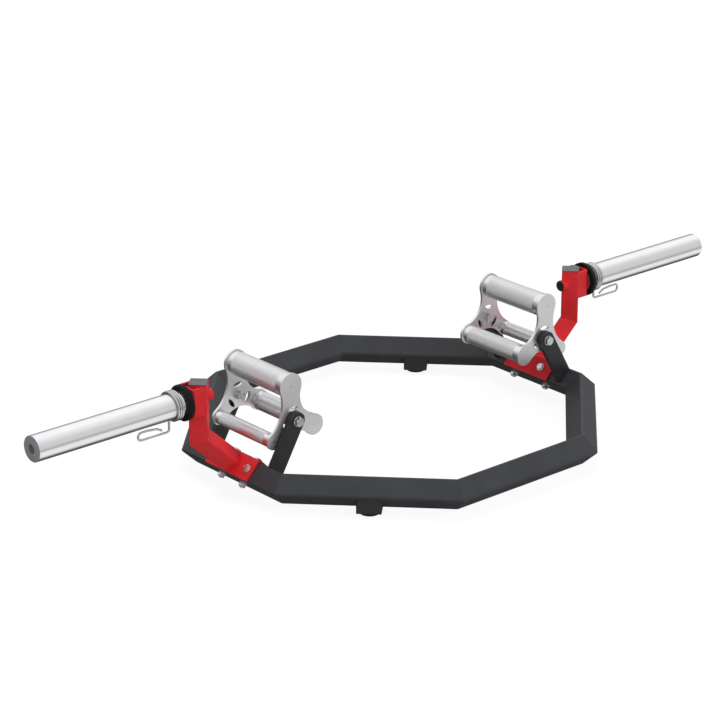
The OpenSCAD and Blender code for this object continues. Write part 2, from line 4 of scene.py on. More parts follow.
import bmesh
import bpy
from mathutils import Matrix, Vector


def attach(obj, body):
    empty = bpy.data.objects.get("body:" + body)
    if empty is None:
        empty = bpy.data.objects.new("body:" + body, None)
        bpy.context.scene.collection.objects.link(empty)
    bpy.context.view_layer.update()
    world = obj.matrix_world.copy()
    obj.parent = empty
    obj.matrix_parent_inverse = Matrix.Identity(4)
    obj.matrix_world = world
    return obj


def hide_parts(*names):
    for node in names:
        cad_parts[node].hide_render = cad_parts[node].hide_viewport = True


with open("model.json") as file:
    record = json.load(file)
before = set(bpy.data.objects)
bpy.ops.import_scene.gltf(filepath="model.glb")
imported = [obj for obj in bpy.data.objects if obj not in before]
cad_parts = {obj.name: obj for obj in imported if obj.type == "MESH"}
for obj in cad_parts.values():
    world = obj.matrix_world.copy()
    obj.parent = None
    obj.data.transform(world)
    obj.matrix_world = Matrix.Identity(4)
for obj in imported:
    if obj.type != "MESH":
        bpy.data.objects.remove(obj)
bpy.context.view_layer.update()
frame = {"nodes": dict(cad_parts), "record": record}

# Sizes are in millimetres, as in the part's source, and meshes are scaled to metres as they are made.
MM = 0.001

RING_HALF_WIDTH = 392.5
RING_Z = 43
TUBE_HALF = 22.5
SADDLE_FACE = 26.5
OUTER_BOLT_Y = 46.5
INNER_BOLT_Y = 32
ARM_X = 485.5
ARM_TOP = 240.5
ARM_W = 35
AXLE_Z = 211.2
BOSS_X = 457
BOSS_D = 22.5
STEM_D = 16
HUB_X = 327.5
HUB_Z = 151.2
PLATE_IN = 80
POST_OUT = 96.5
SLEEVE_D = 50
SPINDLE_END = 847.5
FACE_GAP = 0.3
M8 = {"d": 8, "pitch": 1.25, "flats": 13, "head": 4, "nut": 6.5, "washer_d": 17, "washer_t": 1.6}
M10 = {"d": 10, "pitch": 1.5, "flats": 17, "head": 6.4, "nut": 8.4, "washer_d": 20, "washer_t": 2}
HOLE_EASE = 0.5
THREAD_END = 2

GRIPS = {
    "thick": {"d": 47.5, "reach": 68.5, "angle": 85},
    "medium": {"d": 38, "reach": 56, "angle": 205},
    "thin": {"d": 28, "reach": 58, "angle": 325},
}
SIDES = {"left": -1, "right": 1}


# Node trees


def put(tree, kind, feeds=None, **settings):
    """Adds a node; feeds maps a socket's name or number to a value or to the output that drives it."""
    node = tree.nodes.new(kind)
    for name, value in settings.items():
        setattr(node, name, value)
    for socket, value in (feeds or {}).items():
        if isinstance(value, bpy.types.NodeSocket):
            tree.links.new(value, node.inputs[socket])
        else:
            node.inputs[socket].default_value = value
    return node


def calc(tree, operation, *values, clamp=False):
    feeds = dict(enumerate(values))
    return put(tree, "ShaderNodeMath", feeds, operation=operation, use_clamp=clamp).outputs[0]


def vector_calc(tree, operation, *values, output="Vector"):
    feeds = dict(enumerate(values))
    return put(tree, "ShaderNodeVectorMath", feeds, operation=operation).outputs[output]


def blend_colour(tree, share, first, second):
    feeds = {0: share, 6: first, 7: second}
    return put(tree, "ShaderNodeMix", feeds, data_type="RGBA").outputs[2]


def between(tree, value, low, high, to_low=0.0, to_high=1.0):
    feeds = {"Value": value, "From Min": low, "From Max": high, "To Min": to_low, "To Max": to_high}
    return put(tree, "ShaderNodeMapRange", feeds).outputs[0]


def noise(tree, place, scale, detail=2.0, rough=0.5):
    feeds = {"Vector": place, "Scale": scale, "Detail": detail, "Roughness": rough}
    return put(tree, "ShaderNodeTexNoise", feeds).outputs[0]


def new_group(name, kind, inputs, outputs):
    """A node group with named sockets; inputs are (name, socket type, value) and outputs (name, type)."""
    tree = bpy.data.node_groups.new(name, kind)
    for label, socket_type, value in inputs:
        socket = tree.interface.new_socket(label, in_out="INPUT", socket_type=socket_type)
        if value is not None:
            socket.default_value = value
    for label, socket_type in outputs:
        tree.interface.new_socket(label, in_out="OUTPUT", socket_type=socket_type)
    return tree, tree.nodes.new("NodeGroupInput").outputs, tree.nodes.new("NodeGroupOutput").inputs


def worn_edges_group():
    """Softens sharp edges, and marks where handling has rubbed them."""
    tree, given, result = new_group(
        "worn_edges",
        "ShaderNodeTree",
        [("Radius", "NodeSocketFloat", 0.0006), ("Breakup", "NodeSocketFloat", 90.0),
         ("Reach", "NodeSocketFloat", 0.5)],
        [("Mask", "NodeSocketFloat"), ("Normal", "NodeSocketVector")],
    )
    place = put(tree, "ShaderNodeTexCoord").outputs["Object"]
    soft = put(tree, "ShaderNodeBevel", {"Radius": given["Radius"]}, samples=6).outputs[0]
    sharp = put(tree, "ShaderNodeNewGeometry").outputs["Normal"]
    turn = calc(tree, "SUBTRACT", 1.0, vector_calc(tree, "DOT_PRODUCT", soft, sharp, output="Value"))
    edge = between(tree, turn, 0.01, 0.16)
    patches = noise(tree, place, given["Breakup"], 5.0, 0.62)
    start = calc(tree, "SUBTRACT", 1.0, given["Reach"])
    broken = between(tree, patches, start, calc(tree, "ADD", start, 0.12))
    tree.links.new(calc(tree, "MULTIPLY", edge, broken, clamp=True), result["Mask"])
    tree.links.new(soft, result["Normal"])
    return tree


def coat_texture_group():
    """Orange peel, broad mottling and fine settled dust of a sprayed or moulded skin."""
    tree, given, result = new_group(
        "coat_texture",
        "ShaderNodeTree",
        [("Peel per metre", "NodeSocketFloat", 700.0), ("Mottle per metre", "NodeSocketFloat", 14.0)],
        [("Peel", "NodeSocketFloat"), ("Mottle", "NodeSocketFloat"), ("Dust", "NodeSocketFloat")],
    )
    place = put(tree, "ShaderNodeTexCoord").outputs["Object"]
    broad = noise(tree, place, given["Peel per metre"], 1.0, 0.4)
    fine = noise(tree, place, calc(tree, "MULTIPLY", given["Peel per metre"], 3.1), 2.0)
    peel = calc(tree, "ADD", calc(tree, "MULTIPLY", broad, 0.75), calc(tree, "MULTIPLY", fine, 0.25))
    mottle = noise(tree, place, given["Mottle per metre"], 4.0, 0.6)
    upward = put(tree, "ShaderNodeSeparateXYZ", {0: put(tree, "ShaderNodeNewGeometry").outputs["Normal"]})
    specks = between(tree, noise(tree, place, 520.0, 3.0, 0.7), 0.6, 0.78)
    drift = between(tree, mottle, 0.42, 0.72)
    resting = calc(tree, "MULTIPLY", between(tree, upward.outputs["Z"], 0.2, 0.9), drift)
    tree.links.new(peel, result["Peel"])
    tree.links.new(mottle, result["Mottle"])
    tree.links.new(calc(tree, "MULTIPLY", resting, specks, clamp=True), result["Dust"])
    return tree


def tool_marks_group():
    """Fine lines of grinding or brushing, long scuffs and smudges. A spread is in lines per metre."""
    tree, given, result = new_group(
        "tool_marks",
        "ShaderNodeTree",
        [("Line spread", "NodeSocketVector", (2600.0, 40.0, 40.0)),
         ("Scuff spread", "NodeSocketVector", (14.0, 900.0, 900.0))],
        [("Lines", "NodeSocketFloat"), ("Scuffs", "NodeSocketFloat"), ("Smudge", "NodeSocketFloat")],
    )
    place = put(tree, "ShaderNodeTexCoord").outputs["Object"]
    lines = noise(tree, vector_calc(tree, "MULTIPLY", place, given["Line spread"]), 1.0, 3.0, 0.6)
    long_marks = noise(tree, vector_calc(tree, "MULTIPLY", place, given["Scuff spread"]), 1.0, 1.0)
    scuffs = between(tree, long_marks, 0.66, 0.76)
    where = between(tree, noise(tree, place, 17.0, 3.0), 0.45, 0.62)
    tree.links.new(lines, result["Lines"])
    tree.links.new(calc(tree, "MULTIPLY", scuffs, where, clamp=True), result["Scuffs"])
    tree.links.new(noise(tree, place, 26.0, 5.0, 0.65), result["Smudge"])
    return tree


WORN_EDGES = worn_edges_group()
COAT_TEXTURE = coat_texture_group()
TOOL_MARKS = tool_marks_group()


def use(tree, group, feeds):
    """Adds a shader group and returns its outputs."""
    node = put(tree, "ShaderNodeGroup", node_tree=group)
    for socket, value in feeds.items():
        node.inputs[socket].default_value = value
    return node.outputs


def started(name):
    material = bpy.data.materials.new(name)
    material.use_nodes = True
    tree = material.node_tree
    return material, tree, tree.nodes["Principled BSDF"].inputs


def bumped(tree, height, depth, normal):
    feeds = {"Height": height, "Distance": depth, "Strength": 1.0, "Normal": normal}
    return put(tree, "ShaderNodeBump", feeds).outputs[0]


MOTTLE_LIGHT = 1.16
MOTTLE_DARK = 0.86
DUST_COLOUR = (0.36, 0.35, 0.34, 1.0)
DUST_COVER = 0.16
DUST_MATT = 0.2
RUBBED_SHINE = -0.12


def coated(name, colour, rough, specular, peel, peel_depth, bare, wear_radius, wear_reach, bare_metal=1.0):
    """A powder coat, moulded plastic or rubber skin.

    Peel is in bumps per metre, and bare is the colour that shows where an edge is worn.
    """
    material, tree, shader = started(name)
    skin = use(tree, COAT_TEXTURE, {"Peel per metre": peel})
    edges = use(tree, WORN_EDGES, {"Radius": wear_radius, "Reach": wear_reach})
    lighter = (*[min(1.0, c * MOTTLE_LIGHT + 0.002) for c in colour], 1.0)
    darker = (*[c * MOTTLE_DARK for c in colour], 1.0)
    tint = blend_colour(tree, between(tree, skin["Mottle"], 0.3, 0.7), darker, lighter)
    dusty = blend_colour(tree, calc(tree, "MULTIPLY", skin["Dust"], DUST_COVER), tint, DUST_COLOUR)
    worn = blend_colour(tree, edges["Mask"], dusty, (*bare, 1.0))
    tree.links.new(worn, shader["Base Color"])
    matt = between(tree, skin["Mottle"], 0.25, 0.75, rough - 0.05, rough + 0.06)
    rubbed = calc(tree, "MULTIPLY_ADD", edges["Mask"], RUBBED_SHINE, matt)
    dulled = calc(tree, "MULTIPLY_ADD", skin["Dust"], DUST_MATT, rubbed, clamp=True)
    tree.links.new(dulled, shader["Roughness"])
    if bare_metal:
        tree.links.new(calc(tree, "MULTIPLY", edges["Mask"], bare_metal), shader["Metallic"])
    shader["Specular IOR Level"].default_value = specular
    tree.links.new(bumped(tree, skin["Peel"], peel_depth, edges["Normal"]), shader["Normal"])
    return material


def machined(name, colour, rough, lines, line_depth, scuffs, edge_radius, stain):
    """A bare or plated metal, with lines and scuffs in marks per metre along each axis.

    An edge radius of 0 leaves the edges as they are modelled, for wire and knurl.
    """
    material, tree, shader = started(name)
    marks = use(tree, TOOL_MARKS, {"Line spread": lines, "Scuff spread": scuffs})
    dull = (*[c * (1.0 - stain) for c in colour], 1.0)
    tint = blend_colour(tree, between(tree, marks["Smudge"], 0.35, 0.68), (*colour, 1.0), dull)
    streaked = blend_colour(tree, between(tree, marks["Lines"], 0.3, 0.7, 0.0, 0.35), tint, dull)
    shader["Metallic"].default_value = 1.0
    smudged = between(tree, marks["Smudge"], 0.3, 0.7, rough - 0.015, rough + 0.03)
    scuffed = calc(tree, "MULTIPLY_ADD", marks["Scuffs"], 0.07, smudged)
    uneven = calc(tree, "MULTIPLY_ADD", marks["Lines"], 0.03, scuffed, clamp=True)
    tree.links.new(uneven, shader["Roughness"])
    relief = calc(tree, "MULTIPLY_ADD", marks["Scuffs"], -0.5, marks["Lines"])
    if edge_radius:
        edges = use(tree, WORN_EDGES, {"Radius": edge_radius, "Reach": 0.8})
        polished = (*[min(1.0, c * 1.15) for c in colour], 1.0)
        streaked = blend_colour(tree, calc(tree, "MULTIPLY", edges["Mask"], 0.4), streaked, polished)
        normal = edges["Normal"]
    else:
        normal = put(tree, "ShaderNodeNewGeometry").outputs["Normal"]
    tree.links.new(streaked, shader["Base Color"])
    tree.links.new(bumped(tree, relief, line_depth, normal), shader["Normal"])
    return material


STEEL = (0.46, 0.45, 0.44)
ALONG_X = (14.0, 900.0, 900.0)
ALONG_Y = (900.0, 14.0, 900.0)
EVERY_WAY = (160.0, 170.0, 150.0)

FINISHES = {
    "charcoal_frame": coated(
        "charcoal_powder_coat", (0.033, 0.0345, 0.039), rough=0.46, specular=0.28,
        peel=620.0, peel_depth=0.00006,
        bare=STEEL, wear_radius=0.0009, wear_reach=0.42,
    ),
    "black_frame": coated(
        "black_powder_coat", (0.020, 0.021, 0.022), rough=0.44, specular=0.28,
        peel=680.0, peel_depth=0.00005,
        bare=STEEL, wear_radius=0.0007, wear_reach=0.47,
    ),
    "foot_rubber": coated(
        "foot_rubber", (0.016, 0.016, 0.017), rough=0.72, specular=0.25,
        peel=1900.0, peel_depth=0.00008,
        bare=(0.05, 0.05, 0.05), wear_radius=0.0007, wear_reach=0.5, bare_metal=0.0,
    ),
    "red_paint": coated(
        "red_powder_coat", (0.66, 0.021, 0.027), rough=0.42, specular=0.2,
        peel=560.0, peel_depth=0.00005,
        bare=(0.68, 0.06, 0.06), wear_radius=0.0008, wear_reach=0.56, bare_metal=0.0,
    ),
    "grey_plastic": coated(
        "grey_moulded_plastic", (0.13, 0.13, 0.13), rough=0.55, specular=0.3,
        peel=2400.0, peel_depth=0.00004,
        bare=(0.2, 0.2, 0.2), wear_radius=0.0006, wear_reach=0.55, bare_metal=0.0,
    ),
    "dark_plastic": coated(
        "dark_moulded_plastic", (0.22, 0.22, 0.235), rough=0.5, specular=0.3,
        peel=2200.0, peel_depth=0.00004,
        bare=(0.28, 0.28, 0.28), wear_radius=0.0006, wear_reach=0.55, bare_metal=0.0,
    ),
    "black_plastic": coated(
        "black_moulded_plastic", (0.012, 0.013, 0.013), rough=0.42, specular=0.3,
        peel=2200.0, peel_depth=0.00003,
        bare=(0.05, 0.05, 0.05), wear_radius=0.0006, wear_reach=0.55, bare_metal=0.0,
    ),
    "stop_rubber": coated(
        "stop_disc_rubber", (0.004, 0.005, 0.0048), rough=0.55, specular=0.14,
        peel=1500.0, peel_depth=0.00005,
        bare=(0.025, 0.027, 0.026), wear_radius=0.0009, wear_reach=0.55, bare_metal=0.0,
    ),
    "satin_plate": machined(
        "satin_steel_plate", (0.80, 0.80, 0.805), rough=0.36,
        lines=(60.0, 60.0, 2400.0), line_depth=0.00001, scuffs=EVERY_WAY, edge_radius=0.0005, stain=0.10,
    ),
    "knurled_chrome": machined(
        "knurled_chrome", (0.74, 0.74, 0.755), rough=0.3,
        lines=(60.0, 2400.0, 60.0), line_depth=0.000003, scuffs=ALONG_Y, edge_radius=0.0, stain=0.05,
    ),
    "sleeve_chrome": machined(
        "ground_chrome_sleeve", (0.82, 0.82, 0.835), rough=0.17,
        lines=(2600.0, 40.0, 40.0), line_depth=0.000003, scuffs=ALONG_X, edge_radius=0.0006, stain=0.04,
    ),
    "bronze_bush": machined(
        "sintered_bronze", (0.55, 0.37, 0.16), rough=0.42,
        lines=(900.0, 900.0, 900.0), line_depth=0.00001, scuffs=EVERY_WAY, edge_radius=0.0003, stain=0.3,
    ),
    "spring_wire": machined(
        "plated_spring_wire", (0.62, 0.62, 0.63), rough=0.24,
        lines=(700.0, 500.0, 500.0), line_depth=0.000006, scuffs=EVERY_WAY, edge_radius=0.0, stain=0.15,
    ),
    "zinc_steel": machined(
        "zinc_plated_steel", (0.74, 0.74, 0.75), rough=0.24,
        lines=(420.0, 420.0, 420.0), line_depth=0.000008, scuffs=EVERY_WAY, edge_radius=0.0003, stain=0.2,
    ),
}

for part in frame["record"]["subparts"]:
    solid = frame["nodes"][part["node"]]
    solid.data.materials.clear()
    solid.data.materials.append(FINISHES[part["material_slot"]])


# Meshes


MERGE_M = 0.000004


def shaped(name, points, faces):
    """A mesh from points in millimetres, its doubles merged and its faces turned outward."""
    mesh = bpy.data.meshes.new(name)
    mesh.from_pydata([Vector(p) * MM for p in points], [], faces)
    tidy(mesh)
    return mesh


def tidy(mesh, sharp_over=28):
    work = bmesh.new()
    work.from_mesh(mesh)
    bmesh.ops.remove_doubles(work, verts=work.verts, dist=MERGE_M)
    bmesh.ops.recalc_face_normals(work, faces=work.faces)
    work.to_mesh(mesh)
    work.free()
    mesh.polygons.foreach_set("use_smooth", [True] * len(mesh.polygons))
    mesh.set_sharp_from_angle(angle=math.radians(sharp_over))


def linked(name, mesh):
    piece = bpy.data.objects.new(name, mesh)
    bpy.context.scene.collection.objects.link(piece)
    return piece


def rings_to_faces(count, around, ends="open"):
    """Faces between rings of points; the ends are open, capped, or joined to each other round a bore."""
    faces = [
        (i * around + k, i * around + (k + 1) % around,
         (i + 1) * around + (k + 1) % around, (i + 1) * around + k)
        for i in range(count - 1) for k in range(around)
    ]
    last = (count - 1) * around
    if ends == "joined":
        faces += [(last + k, last + (k + 1) % around, (k + 1) % around, k) for k in range(around)]
    elif ends == "capped":
        faces += [tuple(range(around)), tuple(range(last, last + around))]
    return faces


def ring_points(rows):
    """Points on rings about +Z; a row has one (radius, height) pair for each step round its ring."""
    return [
        (r * math.cos(2 * math.pi * k / len(row)), r * math.sin(2 * math.pi * k / len(row)), z)
        for row in rows for k, (r, z) in enumerate(row)
    ]


def turned(profile, around=96, hollow=False):
    """Points and faces of a lathe-turned solid about +Z, from (radius, height) pairs."""
    points = ring_points([[pair] * around for pair in profile])
    return points, rings_to_faces(len(profile), around, "joined" if hollow else "capped")


FLAT_SHARE = 0.475
DIMPLE_SHARE = 0.98
HEAD_CHAMFER = 30
THREAD_DEPTH = 0.61


def hexagon_radius(flats, angle):
    off = (angle + math.pi / 6) % (math.pi / 3) - math.pi / 6
    return flats / 2 / math.cos(off)


def hexagon_head(flats, height, both_ends=False, bore=0.0, around=72):
    """A hexagon with its corners chamfered at 30 degrees, as a bolt's head or a nut is."""
    flat_r = flats * FLAT_SHARE
    inner_r = bore / 2 if bore else flat_r * DIMPLE_SHARE
    corners = [hexagon_radius(flats, 2 * math.pi * k / around) for k in range(around)]
    drops = [math.tan(math.radians(HEAD_CHAMFER)) * (r - flat_r) for r in corners]
    rows = [
        [(inner_r, 0.0)] * around,
        [(flat_r, 0.0)] * around,
        list(zip(corners, drops if both_ends else [0.0] * around)),
        [(r, height - drop) for r, drop in zip(corners, drops)],
        [(flat_r, height)] * around,
        [(inner_r, height)] * around,
    ]
    return ring_points(rows), rings_to_faces(len(rows), around, "joined" if bore else "capped")


def threaded(d, pitch, start, end, around=48):
    """A bolt's thread: one helical ridge, clipped square at both ends, with a chamfered tip at start."""
    root = d / 2 - THREAD_DEPTH * pitch
    turns = int((end - start) / pitch) + 2
    rows = []
    for j in range(2 * turns + 1):
        row = []
        for k in range(around):
            z = start + (j / 2 - 1 + k / around) * pitch
            held = min(max(z, start), end)
            crest = d / 2 if j % 2 else root
            row.append((min(crest, root + (held - start)) if start < z < end else root, held))
        rows.append(row)
    last = (len(rows) - 1) * around
    # Rows stand half a pitch apart and one turn climbs a whole pitch, so the last column meets
    # the first one two rows up.
    faces = [f for f in rings_to_faces(len(rows), around) if f[0] % around != around - 1]
    for i in range(len(rows) - 1):
        low, high = i * around + around - 1, (i + 1) * around + around - 1
        next_low, next_high = min((i + 2) * around, last), min((i + 3) * around, last)
        faces.append((low, next_low, next_high, high) if next_high != next_low else (low, next_low, high))
    return ring_points(rows), faces


def joined(*shapes):
    points, faces = [], []
    for shape_points, shape_faces in shapes:
        base = len(points)
        points += shape_points
        faces += [tuple(base + i for i in face) for face in shape_faces]
    return points, faces


def raised(shape, height):
    points, faces = shape
    return [(x, y, z + height) for x, y, z in points], faces


# Geometry node trees for what repeats


def ended(tree, geometry, finish, result):
    """Ends a tree in Realize Instances and Set Material."""
    real = put(tree, "GeometryNodeRealizeInstances", {"Geometry": geometry})
    done = put(tree, "GeometryNodeSetMaterial", {"Geometry": real.outputs[0], "Material": finish})
    tree.links.new(done.outputs[0], result["Geometry"])
    return tree


def instance_tree():
    """Sets one fastener on every point, its axis along the point's aim."""
    tree, given, result = new_group(
        "fasteners_on_points",
        "GeometryNodeTree",
        [("Geometry", "NodeSocketGeometry", None), ("Fastener", "NodeSocketObject", None),
         ("Finish", "NodeSocketMaterial", None)],
        [("Geometry", "NodeSocketGeometry")],
    )
    aim = put(tree, "GeometryNodeInputNamedAttribute", {"Name": "aim"}, data_type="FLOAT_VECTOR")
    turn = put(tree, "FunctionNodeAlignRotationToVector", {"Vector": aim.outputs[0]}, axis="Z")
    shape = put(tree, "GeometryNodeObjectInfo", {"Object": given["Fastener"]}, transform_space="ORIGINAL")
    row = put(tree, "GeometryNodeInstanceOnPoints", {
        "Points": given["Geometry"],
        "Instance": shape.outputs["Geometry"],
        "Rotation": turn.outputs[0],
    })
    return ended(tree, row.outputs[0], given["Finish"], result)


def wire_tree():
    """Sweeps a round wire along the edges of a bent line."""
    tree, given, result = new_group(
        "bent_wire",
        "GeometryNodeTree",
        [("Geometry", "NodeSocketGeometry", None), ("Wire radius", "NodeSocketFloat", 0.0022),
         ("Sides", "NodeSocketInt", 20), ("Finish", "NodeSocketMaterial", None)],
        [("Geometry", "NodeSocketGeometry")],
    )
    line = put(tree, "GeometryNodeMeshToCurve", {"Mesh": given["Geometry"]})
    round_bar = put(tree, "GeometryNodeCurvePrimitiveCircle", {
        "Resolution": given["Sides"],
        "Radius": given["Wire radius"],
    })
    tube = put(tree, "GeometryNodeCurveToMesh", {
        "Curve": line.outputs[0],
        "Profile Curve": round_bar.outputs[0],
        "Fill Caps": True,
    })
    return ended(tree, tube.outputs[0], given["Finish"], result)


def knurl_tree():
    """A barrel of raised diamonds about local +Y, joined to the smooth ends that come in as geometry."""
    tree, given, result = new_group(
        "knurled_barrel",
        "GeometryNodeTree",
        [("Geometry", "NodeSocketGeometry", None), ("Root radius", "NodeSocketFloat", 0.0234),
         ("Length", "NodeSocketFloat", 0.133), ("Around", "NodeSocketInt", 186),
         ("Along", "NodeSocketInt", 166), ("Depth", "NodeSocketFloat", 0.0003),
         ("Finish", "NodeSocketMaterial", None)],
        [("Geometry", "NodeSocketGeometry")],
    )
    columns = calc(tree, "ADD", given["Around"], 1.0)
    rows = calc(tree, "ADD", given["Along"], 1.0)
    sheet = put(tree, "GeometryNodeMeshGrid", {
        "Size X": 1.0, "Size Y": 1.0, "Vertices X": columns, "Vertices Y": rows,
    })
    at = put(tree, "ShaderNodeSeparateXYZ", {0: put(tree, "GeometryNodeInputPosition").outputs[0]})

    def step(axis, count):
        from_edge = calc(tree, "ADD", at.outputs[axis], 0.5)
        return calc(tree, "ROUND", calc(tree, "MULTIPLY", from_edge, count))

    column, row = step(0, given["Around"]), step(1, given["Along"])
    peak = calc(tree, "MODULO", calc(tree, "ADD", column, row), 2.0)
    past_start = calc(tree, "GREATER_THAN", row, 0.5)
    before_end = calc(tree, "LESS_THAN", row, calc(tree, "SUBTRACT", given["Along"], 0.5))
    raised_here = calc(tree, "MULTIPLY", peak, calc(tree, "MULTIPLY", past_start, before_end))
    radius = calc(tree, "MULTIPLY_ADD", raised_here, given["Depth"], given["Root radius"])
    angle = calc(tree, "MULTIPLY", calc(tree, "DIVIDE", column, given["Around"]), 2 * math.pi)
    place = put(tree, "ShaderNodeCombineXYZ", {
        0: calc(tree, "MULTIPLY", radius, calc(tree, "SINE", angle)),
        1: calc(tree, "MULTIPLY", at.outputs[1], given["Length"]),
        2: calc(tree, "MULTIPLY", radius, calc(tree, "COSINE", angle)),
    })
    barrel = put(tree, "GeometryNodeSetPosition", {
        "Geometry": sheet.outputs[0], "Position": place.outputs[0],
    })
    cut = put(tree, "GeometryNodeTriangulate", {"Mesh": barrel.outputs[0]})
    both = put(tree, "GeometryNodeJoinGeometry")
    tree.links.new(cut.outputs[0], both.inputs[0])
    tree.links.new(given["Geometry"], both.inputs[0])
    return ended(tree, both.outputs[0], given["Finish"], result)


INSTANCE_TREE = instance_tree()
WIRE_TREE = wire_tree()
KNURL_TREE = knurl_tree()


def grown(name, host, tree, values):
    """Runs a geometry node tree on host with the named inputs, and returns its result as a plain mesh."""
    modifier = host.modifiers.new("grow", "NODES")
    modifier.node_group = tree
    sockets = {s.name: s.identifier for s in tree.interface.items_tree if s.in_out == "INPUT"}
    for label, value in values.items():
        modifier[sockets[label]] = value
    bpy.context.view_layer.update()
    view = bpy.context.evaluated_depsgraph_get()
    mesh = bpy.data.meshes.new_from_object(host.evaluated_get(view), depsgraph=view)
    mesh.name = name
    bpy.data.objects.remove(host)
    return mesh


def finished(name, mesh, body, slot, *nodes):
    """Links a finished mesh as a piece that rides on its body and stands for its CAD nodes."""
    piece = linked(name, mesh)
    mesh.materials.clear()
    mesh.materials.append(FINISHES[slot])
    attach(piece, body)
    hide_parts(*nodes)


def set_in_places(name, shape, places, slot, *nodes):
    """Repeats a fastener, modelled along +Z, at each (position, aim) on the frame."""
    pattern = linked(name + "_pattern", shaped(name + "_pattern", *shape))
    points = bpy.data.meshes.new(name + "_points")
    points.from_pydata([Vector(p) * MM for p, _ in places], [], [])
    aims = points.attributes.new("aim", "FLOAT_VECTOR", "POINT")
    aims.data.foreach_set("vector", [c for _, aim in places for c in aim])
    host = linked(name + "_host", points)
    mesh = grown(name, host, INSTANCE_TREE, {"Fastener": pattern, "Finish": FINISHES[slot]})
    bpy.data.objects.remove(pattern)
    tidy(mesh)
    finished(name, mesh, "frame", slot, *nodes)


# Fasteners


WASHER_EDGE = 0.25
THREAD_RUN = 3 * THREAD_END
HEAD_OVERLAP = 0.5
END_WASHER_T = 3
END_HEAD_EXTRA = 3
END_BOLT_LENGTH = 20


def washer(size):
    """A flat washer with its outer edges broken, from 0 up to its thickness."""
    outer, bore, t = size["washer_d"] / 2, (size["d"] + HOLE_EASE) / 2, size["washer_t"]
    flat = outer - WASHER_EDGE
    profile = [(bore, 0), (flat, 0), (outer, WASHER_EDGE), (outer, t - WASHER_EDGE), (flat, t), (bore, t)]
    return turned(profile, 72, hollow=True)


def bolt(size, pitch, head_at, tip_at):
    """A hexagon bolt whose head sits on head_at and whose threaded tip ends at tip_at."""
    thread_from = tip_at + THREAD_RUN + size["nut"]
    shank = turned([(size["d"] / 2, thread_from), (size["d"] / 2, head_at + HEAD_OVERLAP)], 48)
    head = raised(hexagon_head(size["flats"], size["head"]), head_at)
    return joined(threaded(size["d"], pitch, tip_at, thread_from), shank, head)


saddle_places = [
    ((side * RING_HALF_WIDTH, y_side * y, RING_Z), (side * lean * math.sqrt(0.5), 0, math.sqrt(0.5)))
    for side in SIDES.values() for y_side in (-1, 1)
    for y, lean in ((OUTER_BOLT_Y, 1), (INNER_BOLT_Y, -1))
]
pivot_places = [
    ((side * HUB_X, 0, HUB_Z), (0, -end, 0)) for side in SIDES.values() for end in (1, -1)
]
spindle_places = [
    ((side * SPINDLE_END, 0, AXLE_Z), (side, 0, 0)) for side in SIDES.values()
]

saddle_seat = SADDLE_FACE + M8["washer_t"]
saddle_nut_at = -TUBE_HALF - M8["washer_t"] - M8["nut"]
set_in_places("saddle_bolts_threaded", bolt(M8, M8["pitch"], saddle_seat, saddle_nut_at - THREAD_END),
              saddle_places, "zinc_steel", "saddle_bolts")
set_in_places("saddle_washers_edged",
              joined(raised(washer(M8), SADDLE_FACE), raised(washer(M8), -TUBE_HALF - M8["washer_t"])),
              saddle_places, "zinc_steel", "saddle_washers")
set_in_places("saddle_nuts_chamfered",
              raised(hexagon_head(M8["flats"], M8["nut"], True, M8["d"]), saddle_nut_at),
              saddle_places, "zinc_steel", "saddle_nuts")

inner_washer_at = PLATE_IN - FACE_GAP - M10["washer_t"]
inner_nut_at = inner_washer_at - M10["nut"]
set_in_places("pivot_bolts_threaded",
              bolt(M10, M10["pitch"], POST_OUT + M10["washer_t"], inner_nut_at - THREAD_END),
              pivot_places, "zinc_steel", "pivot_bolts")
set_in_places("pivot_washers_edged",
              joined(raised(washer(M10), POST_OUT), raised(washer(M10), inner_washer_at)),
              pivot_places, "zinc_steel", "pivot_washers")
set_in_places("pivot_nuts_chamfered",
              raised(hexagon_head(M10["flats"], M10["nut"], True, M10["d"]), inner_nut_at),
              pivot_places, "zinc_steel", "pivot_nuts")
end_head = raised(hexagon_head(M8["flats"], M8["head"] + END_HEAD_EXTRA), END_WASHER_T)
end_shank = turned([(M8["d"] / 2, -END_BOLT_LENGTH), (M8["d"] / 2, END_WASHER_T + HEAD_OVERLAP)], 48)
set_in_places("spindle_end_bolts_chamfered", joined(end_head, end_shank),
              spindle_places, "zinc_steel", "spindle_end_bolts")


# Grips

GRIP_LENGTH = 160
SMOOTH_END = 13.5
KNURL_DEPTH = 0.3
KNURL_STEP = 0.8
KNURL_RUNOUT = 0.35
PLATE_CHAMFER = 0.9


def grip_end_rings(radius, around, end):
    """Rings about local Y from the knurl's root out to the plate, for one end of a grip."""
    barrel_end = GRIP_LENGTH / 2 - SMOOTH_END
    profile = [
        (radius - KNURL_DEPTH, barrel_end),
        (radius - KNURL_DEPTH, barrel_end + KNURL_RUNOUT),
        (radius, barrel_end + 2 * KNURL_RUNOUT),
        (radius, GRIP_LENGTH / 2 - PLATE_CHAMFER),
        (radius - PLATE_CHAMFER, GRIP_LENGTH / 2),
    ]
    points = [
        (r * math.sin(2 * math.pi * k / around), end * y, r * math.cos(2 * math.pi * k / around))
        for r, y in profile for k in range(around)
    ]
    last = (len(profile) - 1) * around
    return points, rings_to_faces(len(profile), around) + [tuple(range(last, last + around))]


